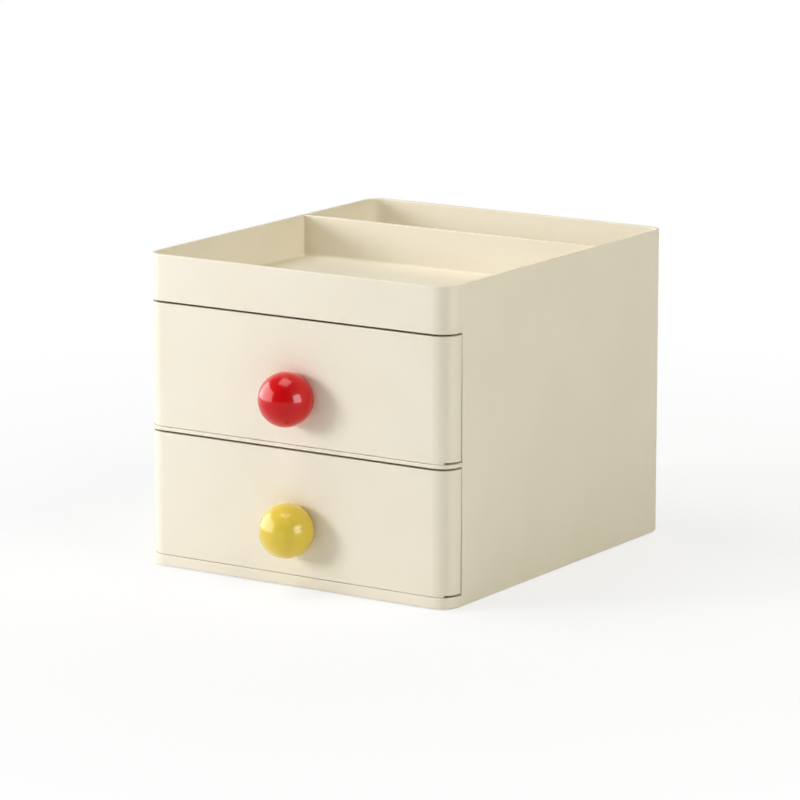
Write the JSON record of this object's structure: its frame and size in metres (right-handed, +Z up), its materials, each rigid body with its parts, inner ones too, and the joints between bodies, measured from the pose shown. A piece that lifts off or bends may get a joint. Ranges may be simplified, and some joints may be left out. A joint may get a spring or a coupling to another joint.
{
  "type": "desktop mini drawers",
  "caption": "Small desktop organiser: moulded casing with an open divided tray on top and stacked drawers with round ball knobs.",
  "frame": {"origin": "bottom centre of the bounding box: on the desk, midway across the width, midway between the casing's back and the front of the knobs", "axes": "+Z up, -Y the way the drawers open, +X to the right of someone facing the front"},
  "size_m": [0.17, 0.215, 0.1506],
  "materials": {
    "cream_plastic": "satin moulded cream plastic",
    "red_gloss": "high gloss red",
    "yellow_gloss": "high gloss yellow",
    "brass": "turned brass",
    "zinc_steel": "bright zinc plated",
    "pad_rubber": "matt translucent grey-white"
  },
  "bodies": {
    "casing": {"casing": "cream_plastic", "pad_front_left": "pad_rubber", "pad_front_right": "pad_rubber", "pad_back_left": "pad_rubber", "pad_back_right": "pad_rubber"},
    "upper_drawer": {"upper_drawer": "cream_plastic", "upper_knob": "red_gloss", "upper_knob_insert": "brass", "upper_knob_washer": "zinc_steel", "upper_knob_screw": "zinc_steel"},
    "lower_drawer": {"lower_drawer": "cream_plastic", "lower_knob": "yellow_gloss", "lower_knob_insert": "brass", "lower_knob_washer": "zinc_steel", "lower_knob_screw": "zinc_steel"}
  },
  "joints": [
    {"name": "upper_drawer_slide", "type": "slide", "parent": "casing", "child": "upper_drawer", "axis": [0, -1, 0], "range_m": [0, 0.15]},
    {"name": "lower_drawer_slide", "type": "slide", "parent": "casing", "child": "lower_drawer", "axis": [0, -1, 0], "range_m": [0, 0.15]}
  ]
}
